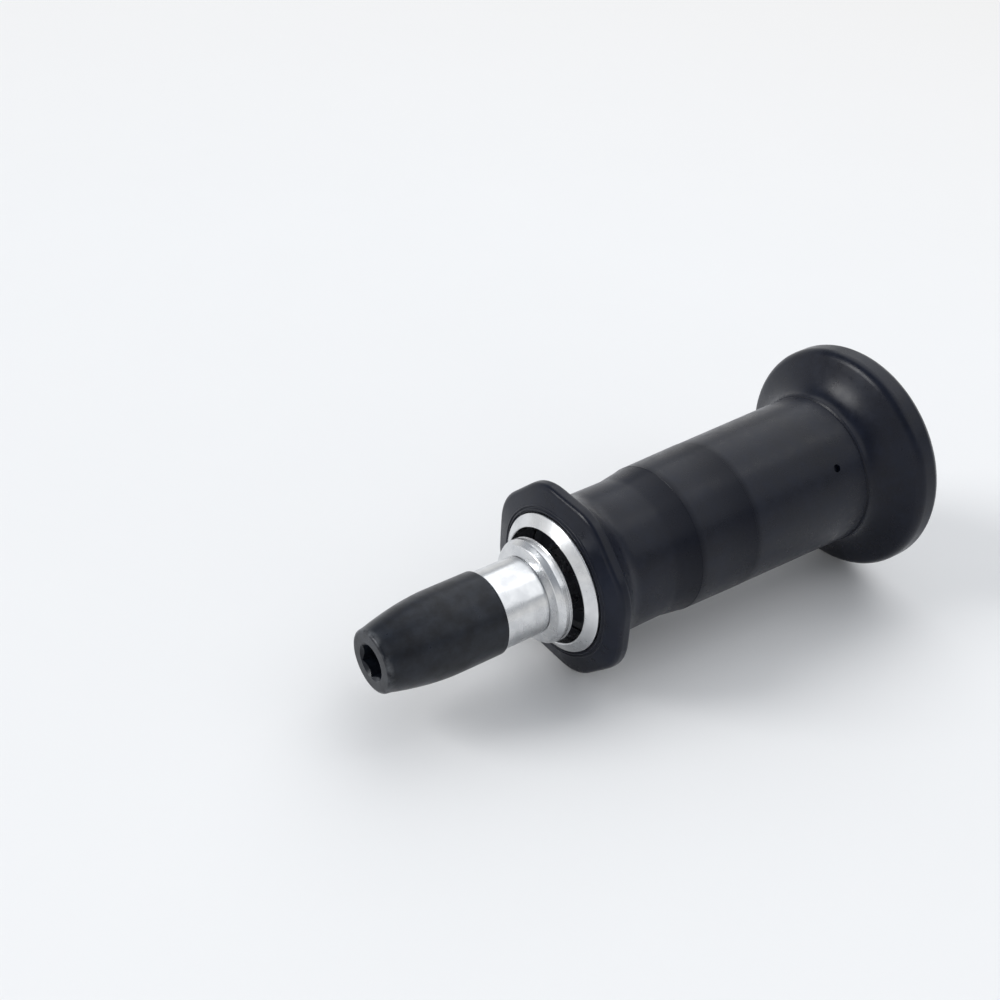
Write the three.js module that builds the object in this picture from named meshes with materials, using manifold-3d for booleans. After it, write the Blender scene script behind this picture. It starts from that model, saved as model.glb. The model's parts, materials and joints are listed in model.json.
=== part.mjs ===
// Hand impact driver, lying on a flat of its guard and on the rim of its cap, nose low.
// A blow on the head drives the body forward over the spindle. Two rollers on a cross pin run back along
// the slanted slots of the cam sleeve, so the spindle turns. The return spring pushes it out again.
// Lengths are in millimetres. Inside the tool, +Y runs along its axis from the nose to the head,
// a place is a distance from the front of the nose, and +Z is up. The finished tool lies along +X.
import * as THREE from 'three';
import { mergeVertices } from 'three/addons/utils/BufferGeometryUtils.js';
import Module from 'manifold-3d';

const wasm = await Module();
wasm.setup();

// Fits
const seatGap = 0.3;
const runningGap = 0.2;
const cutOverrun = 1;
const mergeReach = 0.0001;

// Roundness
const roundSteps = 48;
const boreSteps = 32;
const smallSteps = 16;

// Motion: how far a blow drives the body, and how far that turns the spindle
const stroke = 9;
const turnPerStroke = THREE.MathUtils.degToRad(27);

// Bit holder
const holderLength = 32.5;
const holderWall = 2.5;
const holderTaper = 2.9;
const holderTaperLength = 20;
const holderTaperSteps = 7;
const holderTaperPower = 1.8;
const holderFrontEdge = 0.6;
const holderRearEdge = 0.4;
const hexAcross = 8.1;
const hexDepth = 16;
const hexMouthLead = 0.1;
const holderBoreRadius = 3.2;

// Bit clip, a spring ring in a groove of the hexagon socket
const clipWireRadius = 0.45;
const clipPlace = 4.5;
const clipReach = 0.15;
const clipOpening = THREE.MathUtils.degToRad(50);
const clipStepsPerTurn = 24;

// Square drive with its ball
const squareAcross = 12.7;
const squareCornerCut = 0.68;
const squareLength = 13.2;
const squareEndLead = 0.6;
const driveBallRadius = 1.6;
const driveBallInset = 4.4;
const driveSpringTurns = 4;
const driveSpringWireRadius = 0.25;
const driveSpringLength = 3.8;

// Spindle
const shaftRadius = 8.5;
const neckStep = 3.5;
const neckLength = 12.3;
const shoulderLength = 4.9;
const shoulderFaceDepth = 0.8;
const shoulderBevel = 0.95;
const shoulderRounding = 1.4;
const shoulderClearance = 1.7;
const spindleTail = 1.4;
const spindleEdge = 0.5;

// Seal ring in a groove of the shaft
const sealWireRadius = 0.9;
const sealInset = 3;

// Steel body
const bodyWall = 3.7;
const bodyFrontInset = 1.1;
const flangeStep = 1.7;
const flangeSlopeDepth = 2.3;
const flangeLength = 7;
const mouthWall = 1.45;
const springChamberLength = 38.4;
const headLength = 26;
const headEdge = 1.5;
const gripGrooveInset = 16;
const gripGrooveWidth = 6;
const gripGrooveDepth = 1.2;

// Mouth of the body: wiper, snap ring and guide bush
const wiperThickness = 2.2;
const wiperLipDepth = 0.8;
const snapRingThickness = 1.2;
const snapRingWidth = 3.6;
const snapRingBite = 1.1;
const snapRingOpening = THREE.MathUtils.degToRad(40);
const bushLength = 8;

// Cam sleeve and what runs in it
const sleeveLength = 30;
const sleeveWall = 4.3;
const slotInset = 7.5;
const slotCutsPerLeg = 9;
const rollerRadius = 3.2;
const rollerLength = 3.4;
const pinRadius = 2;
const lockPinRadius = 1.6;
const lockPinInset = 4;

// Thrust ball, spring cap and return spring
const thrustBallRadius = 3;
const thrustSeatDepth = 2.5;
const springCapThickness = 3.5;
const springCapSpigotLength = 4;
const springWireRadius = 1.3;
const springSideGap = 1.6;
const springTurns = 6.5;
const springStepsPerTurn = 12;
const wireSides = 6;

// Rubber grip: how far each stretch stands out from the steel body, and how long it is
const gripSetback = 2.9;
const lipRounding = 0.5;
const guardHeight = 8.1;
const guardFlats = 8;
const guardCornerRounding = 14;
const guardFaceSlope = 1.3;
const guardRounding = 0.8;
const guardLand = 2;
const guardRootLength = 9;
const guardRootSteps = 4;
const guardRootPower = 2.2;
const gripFrontHeight = 1.95;
const gripFrontLength = 25;
const gripStepHeight = 3.1;
const gripStepLength = 7.5;
const gripBandHeight = 3.6;
const gripBandLength = 18.7;
const gripRearHeight = 4.3;
const capLength = 20;
const capFlareLength = 8.2;
const capFlareSteps = 8;
const capFlarePower = 2;
const capFaceHeight = 14.4;
const capRimHeight = 15.3;
const capRounding = 1.5;
const capLand = 4.2;
const capBackHeight = 10.5;
const headReveal = 1.6;
const pitRadius = 1.1;
const pitDepth = 2.2;
const pitInset = 9.8;
const pitAngle = THREE.MathUtils.degToRad(50);

// Places that follow, from the nose to the head
const neckPlace = holderLength + seatGap;
const shoulderPlace = neckPlace + neckLength;
const shoulderEnd = shoulderPlace + shoulderLength;
const bodyFront = shoulderEnd + bodyFrontInset;
const wiperPlace = shoulderEnd + stroke + seatGap;
const snapRingPlace = wiperPlace + wiperThickness + seatGap;
const bushPlace = snapRingPlace + snapRingThickness + seatGap;
const mouthEnd = bushPlace + bushLength;
const sleevePlace = mouthEnd + seatGap;
const pinPlace = sleevePlace + slotInset;
const sleeveEnd = sleevePlace + sleeveLength;
const spindleEnd = sleeveEnd + spindleTail;
const thrustBallPlace = spindleEnd - thrustSeatDepth + seatGap + thrustBallRadius;
const springCapPlace = thrustBallPlace + thrustBallRadius + seatGap - thrustSeatDepth;
const springCapEnd = springCapPlace + springCapThickness;
const chamberEnd = sleeveEnd + springChamberLength;
const bodyEnd = chamberEnd + headLength;
const gripFront = bodyFront + gripSetback;
const gripStepFront = gripFront + gripFrontLength;
const gripStepRear = gripStepFront + gripStepLength;
const gripBandPlace = gripStepRear + gripBandLength;
const capFoot = bodyEnd - capLength;
const capFace = capFoot + capFlareLength;
const gripEnd = bodyEnd - headReveal;
const pitPlace = capFoot - pitInset;
const squareFront = neckPlace - squareLength;
const driveBallPlace = squareFront + driveBallInset;

// Radii that follow, from the shaft out
const shaftBoreRadius = shaftRadius + runningGap;
const sleeveRadius = shaftBoreRadius + sleeveWall;
const boreRadius = sleeveRadius + seatGap;
const bodyRadius = boreRadius + bodyWall;
const mouthRadius = bodyRadius - mouthWall;
const flangeRadius = bodyRadius + flangeStep;
const shoulderRadius = mouthRadius - shoulderClearance;
const neckRadius = shoulderRadius - neckStep;
const squareCornerRadius = squareAcross / Math.SQRT2 - squareCornerCut;
const holderRadius = squareCornerRadius + runningGap + holderWall;
const holderFrontRadius = holderRadius - holderTaper;
const rollerMiddle = (shaftBoreRadius + sleeveRadius) / 2;
const rollerInner = rollerMiddle - rollerLength / 2;
const rollerOuter = rollerMiddle + rollerLength / 2;
const pinReach = rollerOuter + runningGap;
const slotRadius = rollerRadius + seatGap;
const lockPinAngle = turnPerStroke + Math.PI / 2;
const driveBallMiddle = squareAcross / 2 - driveBallRadius;
const springRadius = boreRadius - springSideGap - springWireRadius;
const springCapSpigotRadius = springRadius - springWireRadius - springSideGap;
const guardFlatRadius = bodyRadius + guardHeight;
const gripFrontRadius = bodyRadius + gripFrontHeight;
const gripStepRadius = bodyRadius + gripStepHeight;
const gripBandRadius = bodyRadius + gripBandHeight;
const gripRearRadius = bodyRadius + gripRearHeight;
const capFaceRadius = bodyRadius + capFaceHeight;
const capRimRadius = bodyRadius + capRimHeight;
const capBackRadius = bodyRadius + capBackHeight;

// Finishes
const finish = (color, roughness, metalness) => new THREE.MeshStandardMaterial({ color, roughness, metalness });
const gripRubber = finish(0x23262b, 0.72, 0);
const sealRubber = finish(0x141414, 0.8, 0);
const blackSteel = finish(0x2a2c30, 0.6, 0.5);
const platedSteel = finish(0xc9ccd0, 0.22, 1);
const plainSteel = finish(0x8d9095, 0.4, 1);
const bronze = finish(0xa8783c, 0.45, 1);

// Booleans: a closed geometry becomes a solid once its shared corners are one and no triangle is folded flat
function toSolid(geometry) {
  const bare = geometry.clone();
  bare.deleteAttribute('normal');
  bare.deleteAttribute('uv');
  const merged = mergeVertices(bare, mergeReach);
  const corners = Array.from(merged.index.array);
  const triVerts = [];
  for (let i = 0; i < corners.length; i += 3) {
    const [a, b, c] = corners.slice(i, i + 3);
    if (a !== b && b !== c && c !== a) {
      triVerts.push(a, b, c);
    }
  }
  return new wasm.Manifold(new wasm.Mesh({
    numProp: 3,
    vertProperties: Float32Array.from(merged.attributes.position.array),
    triVerts: Uint32Array.from(triVerts),
  }));
}

function toGeometry(solid) {
  const mesh = solid.getMesh();
  const geometry = new THREE.BufferGeometry();
  geometry.setAttribute('position', new THREE.BufferAttribute(mesh.vertProperties, 3));
  geometry.setIndex(new THREE.BufferAttribute(mesh.triVerts, 1));
  return geometry;
}

function cut(geometry, cutters) {
  return toGeometry(cutters.reduce((left, cutter) => left.subtract(toSolid(cutter)), toSolid(geometry)));
}

// An outline lists [radius, place] points, up the outside and back down the inside
function turned(outline, steps = roundSteps) {
  const points = outline.map(([radius, place]) => new THREE.Vector2(radius, place));
  return new THREE.LatheGeometry(points, steps, Math.PI / steps, 2 * Math.PI);
}

function ring(innerRadius, outerRadius, front, rear, steps = roundSteps) {
  return turned([
    [innerRadius, front],
    [outerRadius, front],
    [outerRadius, rear],
    [innerRadius, rear],
    [innerRadius, front],
  ], steps);
}

function rod(radius, front, rear, steps = smallSteps) {
  return turned([[0, front], [radius, front], [radius, rear], [0, rear]], steps);
}

// Turns a shape made about the axis at place zero to stand out sideways, at an angle from +Z towards +X
function sideways(geometry, place, angle) {
  geometry.rotateX(Math.PI / 2);
  geometry.rotateY(angle);
  geometry.translate(0, place, 0);
  return geometry;
}

function radialRod(radius, inner, outer, place, angle, steps = smallSteps) {
  return sideways(rod(radius, inner, outer, steps), place, angle);
}

// Stands a shape drawn flat up along the axis
function alongAxis(geometry, front) {
  geometry.rotateX(-Math.PI / 2);
  geometry.translate(0, front, 0);
  return geometry;
}

function regularCorners(reach, sides) {
  return Array.from({ length: sides }, (_, i) => {
    const angle = (i + 0.5) * 2 * Math.PI / sides;
    return new THREE.Vector2(reach * Math.cos(angle), reach * Math.sin(angle));
  });
}

function polygonBar(across, sides, front, rear) {
  const shape = new THREE.Shape(regularCorners(across / 2 / Math.cos(Math.PI / sides), sides));
  return alongAxis(new THREE.ExtrudeGeometry(shape, { depth: rear - front, bevelEnabled: false }), front);
}

// A square bar whose corners are rounded to a circle
function squareBar(across, cornerRadius, front, rear) {
  const round = rod(cornerRadius, front - cutOverrun, rear + cutOverrun, roundSteps);
  return toGeometry(toSolid(polygonBar(across, 4, front, rear)).intersect(toSolid(round)));
}

// A flat ring with an opening, as a snap ring has
function openRing(innerRadius, outerRadius, front, rear, opening) {
  const shape = new THREE.Shape();
  shape.absarc(0, 0, outerRadius, opening / 2, 2 * Math.PI - opening / 2, false);
  shape.absarc(0, 0, innerRadius, 2 * Math.PI - opening / 2, opening / 2, true);
  const settings = { depth: rear - front, bevelEnabled: false, curveSegments: boreSteps };
  return alongAxis(new THREE.ExtrudeGeometry(shape, settings), front);
}

class Helix extends THREE.Curve {
  constructor(radius, start, end, turns) {
    super();
    Object.assign(this, { radius, start, end, turns });
  }

  getPoint(t, target = new THREE.Vector3()) {
    const angle = 2 * Math.PI * this.turns * t;
    const place = THREE.MathUtils.lerp(this.start, this.end, t);
    return target.set(this.radius * Math.sin(angle), place, this.radius * Math.cos(angle));
  }
}

function wound(helix, wireRadius, stepsPerTurn) {
  return new THREE.ExtrudeGeometry(new THREE.Shape(regularCorners(wireRadius, wireSides)), {
    steps: Math.round(helix.turns * stepsPerTurn),
    bevelEnabled: false,
    extrudePath: helix,
  });
}

// A coil spring between two faces, a seat gap from each
function coilSpring(coilRadius, wireRadius, front, rear, turns) {
  const inset = seatGap + wireRadius;
  return wound(new Helix(coilRadius, front + inset, rear - inset, turns), wireRadius, springStepsPerTurn);
}

// Bit holder: a tapered nose with a hexagon socket in front and a square socket behind
const hexReach = hexAcross / 2 / Math.cos(Math.PI / 6);
const clipRadius = hexAcross / 2 + clipReach + clipWireRadius;
const clipGrooveHalf = clipWireRadius + runningGap;

function bitHolder() {
  const outline = [[0, 0], [holderFrontRadius - holderFrontEdge, 0]];
  for (let i = 0; i <= holderTaperSteps; i += 1) {
    const share = i / holderTaperSteps;
    const fall = (holderRadius - holderFrontRadius) * (1 - share) ** holderTaperPower;
    outline.push([holderRadius - fall, THREE.MathUtils.lerp(holderFrontEdge, holderTaperLength, share)]);
  }
  outline.push([holderRadius, holderLength - holderRearEdge], [holderRadius - holderRearEdge, holderLength]);
  outline.push([0, holderLength]);
  const leadReach = hexReach + hexMouthLead + cutOverrun;
  const lead = turned([[0, -cutOverrun], [leadReach, -cutOverrun], [0, leadReach - cutOverrun]], boreSteps);
  const socketFloor = squareFront - seatGap;
  const socketAcross = squareAcross + 2 * runningGap;
  return cut(turned(outline), [
    polygonBar(hexAcross, 6, -cutOverrun, hexDepth),
    lead,
    rod(clipRadius + clipGrooveHalf, clipPlace - clipGrooveHalf, clipPlace + clipGrooveHalf, boreSteps),
    rod(holderBoreRadius, hexDepth - cutOverrun, socketFloor + cutOverrun),
    squareBar(socketAcross, squareCornerRadius + runningGap, socketFloor, holderLength + cutOverrun),
  ]);
}

function bitClip() {
  const turns = 1 - clipOpening / (2 * Math.PI);
  return wound(new Helix(clipRadius, clipPlace, clipPlace, turns), clipWireRadius, clipStepsPerTurn);
}

// Spindle: square drive, neck, shoulder, and the shaft that carries the cross pin and the seal ring
const sealPlace = bushPlace + sealInset;
const sealRadius = shaftRadius - sealWireRadius;
const sealGrooveHalf = sealWireRadius + seatGap;
const driveSpringEnd = driveBallMiddle - driveBallRadius;
const driveHoleFloor = driveSpringEnd - driveSpringLength;

function spindle() {
  const outline = [
    [0, neckPlace],
    [neckRadius, neckPlace],
    [neckRadius, shoulderPlace],
    [shoulderRadius - shoulderBevel, shoulderPlace + shoulderFaceDepth],
    [shoulderRadius, shoulderPlace + shoulderFaceDepth + shoulderRounding],
    [shoulderRadius, shoulderEnd],
    [shaftRadius, shoulderEnd],
    [shaftRadius, sealPlace - sealGrooveHalf],
    [sealRadius - sealGrooveHalf, sealPlace - sealGrooveHalf],
    [sealRadius - sealGrooveHalf, sealPlace + sealGrooveHalf],
    [shaftRadius, sealPlace + sealGrooveHalf],
    [shaftRadius, spindleEnd - spindleEdge],
    [shaftRadius - spindleEdge, spindleEnd],
    [0, spindleEnd],
  ];
  const leadReach = squareCornerRadius - squareEndLead;
  const driveLength = squareLength + cutOverrun;
  const leadCone = turned([
    [0, squareFront],
    [leadReach, squareFront],
    [leadReach + driveLength, squareFront + driveLength],
    [0, squareFront + driveLength],
  ]);
  const drive = toSolid(squareBar(squareAcross, squareCornerRadius, squareFront, neckPlace + cutOverrun));
  const whole = toSolid(turned(outline)).add(drive.intersect(toSolid(leadCone)));
  return cut(toGeometry(whole), [
    radialRod(driveBallRadius + runningGap, driveHoleFloor, squareAcross, driveBallPlace, Math.PI / 2),
    radialRod(pinRadius + seatGap / 2, -sleeveRadius, sleeveRadius, pinPlace, 0),
    rod(thrustBallRadius + runningGap, spindleEnd - thrustSeatDepth, spindleEnd + cutOverrun),
  ]);
}

// A ring of round wire
function wireRing(radius, wireRadius, place) {
  const section = regularCorners(wireRadius, 2 * wireSides).map((corner) => [radius + corner.x, place + corner.y]);
  return turned([...section, section[0]], boreSteps);
}

// Steel body: flanged mouth, bore, spring chamber and solid striking head
function steelBody() {
  const grooveReach = mouthRadius + snapRingBite + runningGap;
  const grooveFront = snapRingPlace - seatGap / 2;
  const grooveRear = snapRingPlace + snapRingThickness + seatGap / 2;
  const gripGrooveRear = bodyEnd - gripGrooveInset;
  const whole = turned([
    [0, chamberEnd],
    [boreRadius, chamberEnd],
    [boreRadius, mouthEnd],
    [mouthRadius, mouthEnd],
    [mouthRadius, grooveRear],
    [grooveReach, grooveRear],
    [grooveReach, grooveFront],
    [mouthRadius, grooveFront],
    [mouthRadius, bodyFront],
    [flangeRadius, bodyFront + flangeSlopeDepth],
    [flangeRadius, bodyFront + flangeLength],
    [bodyRadius, bodyFront + flangeLength],
    [bodyRadius, gripGrooveRear - gripGrooveWidth],
    [bodyRadius - gripGrooveDepth, gripGrooveRear - gripGrooveWidth],
    [bodyRadius - gripGrooveDepth, gripGrooveRear],
    [bodyRadius, gripGrooveRear],
    [bodyRadius, bodyEnd - headEdge],
    [bodyRadius - headEdge, bodyEnd],
    [0, bodyEnd],
  ]);
  return cut(whole, lockPinHoles(boreRadius - cutOverrun, bodyRadius + cutOverrun));
}

// The two lock pins stand in holes drilled through the body into the sleeve
const lockPinSides = [0, Math.PI];
const lockPinPlace = sleeveEnd - lockPinInset;

function lockPinHoles(inner, outer) {
  const radius = lockPinRadius + seatGap / 2;
  return lockPinSides.map((side) => radialRod(radius, inner, outer, lockPinPlace, lockPinAngle + side));
}

function camSleeve() {
  const cutters = lockPinHoles(shaftBoreRadius - cutOverrun, sleeveRadius + cutOverrun);
  for (const side of [0, Math.PI]) {
    for (let i = 0; i < 2 * slotCutsPerLeg - 1; i += 1) {
      const share = i / (slotCutsPerLeg - 1);
      const depth = stroke * (share <= 1 ? share : 2 - share);
      const angle = side + turnPerStroke * share;
      cutters.push(radialRod(slotRadius, shaftRadius / 2, sleeveRadius + cutOverrun, pinPlace + depth, angle));
    }
  }
  return cut(ring(shaftBoreRadius, sleeveRadius, sleevePlace, sleeveEnd), cutters);
}

function wiper() {
  const outer = mouthRadius - runningGap;
  const end = wiperPlace + wiperThickness;
  return turned([
    [shaftBoreRadius, wiperPlace],
    [shaftBoreRadius + wiperLipDepth, wiperPlace],
    [outer - wiperLipDepth, wiperPlace + wiperLipDepth],
    [outer, wiperPlace],
    [outer, end],
    [shaftBoreRadius, end],
    [shaftBoreRadius, wiperPlace],
  ]);
}

function snapRing() {
  const outer = mouthRadius + snapRingBite;
  const end = snapRingPlace + snapRingThickness;
  return openRing(outer - snapRingWidth, outer, snapRingPlace, end, snapRingOpening);
}

// The spring cap has a seat for the thrust ball in front and a spigot inside the spring behind
function springCap() {
  const whole = turned([
    [0, springCapPlace],
    [sleeveRadius, springCapPlace],
    [sleeveRadius, springCapEnd],
    [springCapSpigotRadius, springCapEnd],
    [springCapSpigotRadius, springCapEnd + springCapSpigotLength],
    [0, springCapEnd + springCapSpigotLength],
  ], boreSteps);
  const seat = rod(thrustBallRadius + runningGap, springCapPlace - cutOverrun, springCapPlace + thrustSeatDepth);
  return cut(whole, [seat]);
}

function ballAt(radius, place) {
  const geometry = new THREE.SphereGeometry(radius, smallSteps, smallSteps / 2);
  geometry.translate(0, place, 0);
  return geometry;
}

// How far the guard reaches from the axis at an angle: flats joined by rounded corners
function guardReach(angle) {
  const sector = 2 * Math.PI / guardFlats;
  const fromFlat = Math.abs(angle - sector * Math.round(angle / sector));
  const inner = guardFlatRadius - guardCornerRounding;
  if (guardFlatRadius * Math.tan(fromFlat) <= inner * Math.tan(sector / 2)) {
    return guardFlatRadius / Math.cos(fromFlat);
  }
  const centre = inner / Math.cos(sector / 2);
  const fromCorner = sector / 2 - fromFlat;
  const rise = centre * Math.sin(fromCorner);
  return centre * Math.cos(fromCorner) + Math.sqrt(guardCornerRounding ** 2 - rise ** 2);
}

// Points of a curve that leaves a first point flat and rises ever faster to a second one
function swell(first, second, steps, power) {
  return Array.from({ length: steps }, (_, i) => {
    const share = (i + 1) / steps;
    const place = THREE.MathUtils.lerp(first[1], second[1], share);
    return [first[0] + (second[0] - first[0]) * share ** power, place];
  });
}

// Rubber grip: eight-sided guard, handle with two faint bands, and the flared cap round the head
const guardFace = gripFront + guardFaceSlope;
const guardEdge = guardFace + guardRounding;
const guardBack = guardEdge + guardLand;
const gripRoot = guardBack + guardRounding + guardRootLength;

function rubberGrip() {
  const recess = flangeRadius + seatGap;
  const bore = bodyRadius + seatGap;
  const ribRadius = bore - gripGrooveDepth;
  const recessEnd = bodyFront + flangeLength + seatGap;
  const ribRear = bodyEnd - gripGrooveInset - seatGap;
  const ribFront = bodyEnd - gripGrooveInset - gripGrooveWidth + seatGap;
  const guardShoulder = guardFlatRadius - guardRounding;
  const root = swell(
    [gripFrontRadius, gripRoot],
    [guardShoulder, guardBack + guardRounding],
    guardRootSteps,
    guardRootPower,
  ).reverse();
  const geometry = turned([
    [recess, gripFront + lipRounding],
    [recess + lipRounding, gripFront],
    [guardShoulder, guardFace],
    [guardFlatRadius, guardEdge],
    [guardFlatRadius, guardBack],
    ...root,
    [gripFrontRadius, gripRoot],
    [gripFrontRadius, gripStepFront],
    [gripStepRadius, gripStepRear],
    [gripBandRadius, gripBandPlace],
    [gripRearRadius, capFoot],
    ...swell([gripRearRadius, capFoot], [capFaceRadius, capFace], capFlareSteps, capFlarePower),
    [capRimRadius, capFace + capRounding],
    [capRimRadius, capFace + capRounding + capLand],
    [capFaceRadius, capFace + 2 * capRounding + capLand],
    [capBackRadius, gripEnd],
    [bore, gripEnd],
    [bore, ribRear],
    [ribRadius, ribRear],
    [ribRadius, ribFront],
    [bore, ribFront],
    [bore, recessEnd],
    [recess, recessEnd],
    [recess, gripFront + lipRounding],
  ]);
  const position = geometry.attributes.position;
  for (let i = 0; i < position.count; i += 1) {
    const x = position.getX(i);
    const z = position.getZ(i);
    const radius = Math.hypot(x, z);
    const share = (radius - gripFrontRadius) / (guardFlatRadius - gripFrontRadius);
    if (position.getY(i) < gripRoot && share > 0) {
      const factor = 1 + share * (guardReach(Math.atan2(x, z)) / guardFlatRadius - 1);
      position.setX(i, x * factor);
      position.setZ(i, z * factor);
    }
  }
  return cut(geometry, [radialRod(pitRadius, gripRearRadius - pitDepth, capRimRadius, pitPlace, pitAngle)]);
}

// The tool, piece by piece
const tool = new THREE.Group();

function addPiece(name, geometry, material) {
  const mesh = new THREE.Mesh(geometry, material);
  mesh.name = name;
  tool.add(mesh);
}

addPiece('rubber_grip', rubberGrip(), gripRubber);
addPiece('steel_body', steelBody(), platedSteel);
addPiece('wiper_seal', wiper(), sealRubber);
addPiece('snap_ring', snapRing(), blackSteel);
addPiece('guide_bush', ring(shaftBoreRadius, mouthRadius - runningGap, bushPlace, mouthEnd), bronze);
addPiece('cam_sleeve', camSleeve(), plainSteel);
lockPinSides.forEach((side, i) => {
  const pin = radialRod(lockPinRadius, shaftBoreRadius + seatGap, bodyRadius, lockPinPlace, lockPinAngle + side);
  addPiece(`lock_pin_${i + 1}`, pin, plainSteel);
});
const spring = coilSpring(springRadius, springWireRadius, springCapEnd, chamberEnd, springTurns);
addPiece('return_spring', spring, plainSteel);
addPiece('spring_cap', springCap(), plainSteel);
addPiece('thrust_ball', ballAt(thrustBallRadius, thrustBallPlace), plainSteel);
addPiece('spindle', spindle(), platedSteel);
addPiece('seal_ring', wireRing(sealRadius, sealWireRadius, sealPlace), sealRubber);
addPiece('cross_pin', radialRod(pinRadius, -pinReach, pinReach, pinPlace, 0), plainSteel);
[0, Math.PI].forEach((side, i) => {
  const roller = ring(pinRadius + runningGap, rollerRadius, rollerInner, rollerOuter, smallSteps);
  addPiece(`cam_roller_${i + 1}`, sideways(roller, pinPlace, side), plainSteel);
});
addPiece('drive_ball', sideways(ballAt(driveBallRadius, driveBallMiddle), driveBallPlace, Math.PI / 2), plainSteel);
const driveSpring = coilSpring(
  driveBallRadius - runningGap - driveSpringWireRadius,
  driveSpringWireRadius,
  driveHoleFloor,
  driveSpringEnd,
  driveSpringTurns,
);
addPiece('drive_ball_spring', sideways(driveSpring, driveBallPlace, Math.PI / 2), plainSteel);
addPiece('bit_holder', bitHolder(), blackSteel);
addPiece('bit_clip', bitClip(), plainSteel);

// The tool lies along +X, tipped about Y until guard and cap both touch the floor, over the origin
const capReach = capRimRadius * Math.cos(Math.PI / roundSteps);
const tip = Math.atan2(capReach - guardFlatRadius, capFace + capRounding - guardEdge);
tool.rotation.set(0, 0, -Math.PI / 2);
const laid = new THREE.Group();
laid.rotation.y = -tip;
laid.add(tool);
const box = new THREE.Box3().setFromObject(laid, true);
const middle = box.getCenter(new THREE.Vector3());
laid.position.set(-middle.x, -middle.y, -box.min.z);

export default laid;
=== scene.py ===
# Hand impact driver: the looks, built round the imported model.
# Lengths are in metres. A new piece is made in the tool's own frame, with +Z along the axis from the front
# of the nose to the head and +X up, and dress() then moves its mesh to the row's frame. A place is a
# distance from the front of the nose, and an angle is one about the axis, from up.
import json
import math

import bmesh
import bpy
from mathutils import Matrix, Vector


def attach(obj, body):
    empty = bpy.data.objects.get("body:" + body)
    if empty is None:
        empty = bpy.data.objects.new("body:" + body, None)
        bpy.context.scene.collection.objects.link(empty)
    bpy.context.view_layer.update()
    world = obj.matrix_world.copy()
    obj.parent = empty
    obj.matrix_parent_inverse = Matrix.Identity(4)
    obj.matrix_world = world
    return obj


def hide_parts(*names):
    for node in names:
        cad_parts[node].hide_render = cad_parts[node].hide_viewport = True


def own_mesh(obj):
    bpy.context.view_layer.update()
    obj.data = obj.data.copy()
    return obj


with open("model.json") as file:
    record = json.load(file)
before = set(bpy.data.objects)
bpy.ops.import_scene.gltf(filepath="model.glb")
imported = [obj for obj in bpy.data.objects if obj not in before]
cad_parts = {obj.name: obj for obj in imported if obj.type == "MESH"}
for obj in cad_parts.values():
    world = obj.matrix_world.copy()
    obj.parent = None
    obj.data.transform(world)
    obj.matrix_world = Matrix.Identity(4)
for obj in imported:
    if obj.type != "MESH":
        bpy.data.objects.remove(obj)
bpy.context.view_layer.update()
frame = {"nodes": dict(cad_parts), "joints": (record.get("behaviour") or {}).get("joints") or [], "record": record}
joints = {joint["name"]: joint for joint in frame["joints"]}

mm = 0.001

# The tool's own frame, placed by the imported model
tool_length = 166 * mm
axis = Vector(joints["drive_slide"]["axis"]).normalized()
side = Vector((0, -1, 0))
head_centre = Vector(frame["record"]["mounts"][0]["pos_m"])
nose_front = head_centre - tool_length * axis
tool_frame = Matrix.Translation(nose_front) @ Matrix((side.cross(axis), side, axis)).transposed().to_4x4()
in_place = Matrix.Identity(4)
stroke = joints["drive_slide"]["range_m"][1]

# Camera, fitted to the photograph
camera_spot = Vector((-0.2355, -0.2221, 0.2529))
camera_azimuth = math.radians(-39.905)
camera_elevation = math.radians(34.117)
camera_roll = math.radians(6.947)
camera_lens = 54
camera_sensor = 36
camera_near = 10 * mm

# Roundness
around_steps = 144
grip_steps = 192
clip_steps = around_steps // 2
hole_steps = around_steps // 3
ball_steps = around_steps // 6
fillet_steps = 6
slot_arc_steps = 16
wire_sides = 14
sharp_angle = math.radians(28)
weld_distance = 0.001 * mm

# Fits and holes. A drilled hole reaches past the surface by the margin.
fit_gap = 0.2 * mm
drill_margin = 1.5 * mm

# Bit holder
holder_length = 32.5 * mm
holder_radius = 11 * mm
holder_front_radius = 8.1 * mm
holder_front_rounding = 0.9 * mm
holder_rear_rounding = 0.4 * mm
holder_taper_end = 20 * mm
holder_taper_steps = 20
holder_taper_power = 1.8
hex_across = 8.1 * mm
hex_depth = 16 * mm
hex_lead_reach = 4.85 * mm
holder_bore_radius = 3.2 * mm
socket_floor = 19.3 * mm
socket_lead = 0.5 * mm
clip_place = 4.5 * mm
clip_radius = 4.65 * mm
clip_wire_radius = 0.45 * mm
clip_opening = math.radians(50)
clip_groove_half = 0.65 * mm

# Spindle
spindle_rounding = 0.25 * mm
square_across = 12.7 * mm
square_corner_radius = 8.3 * mm
square_front = 19.6 * mm
square_lead = 0.7 * mm
drive_ball_place = 24 * mm
drive_ball_radius = 1.6 * mm
drive_ball_middle = square_across / 2 - drive_ball_radius
drive_hole_floor = -0.65 * mm
neck_place = 32.8 * mm
neck_radius = 10.35 * mm
shoulder_place = 45.1 * mm
shoulder_end = 50 * mm
shoulder_radius = 13.85 * mm
shoulder_face_radius = 12.9 * mm
shoulder_face_depth = 0.8 * mm
shoulder_bevel_depth = 1.4 * mm
shoulder_rounding = 1.1 * mm
shoulder_rear_bevel = 0.5 * mm
undercut_width = 0.35 * mm
undercut_depth = 0.3 * mm
shoulder_line_places = (48.75 * mm, 49.2 * mm)
shoulder_line_half = 0.1 * mm
shoulder_line_depth = 0.12 * mm
shaft_radius = 8.5 * mm
spindle_end = 103 * mm
spindle_edge = 0.5 * mm

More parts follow.
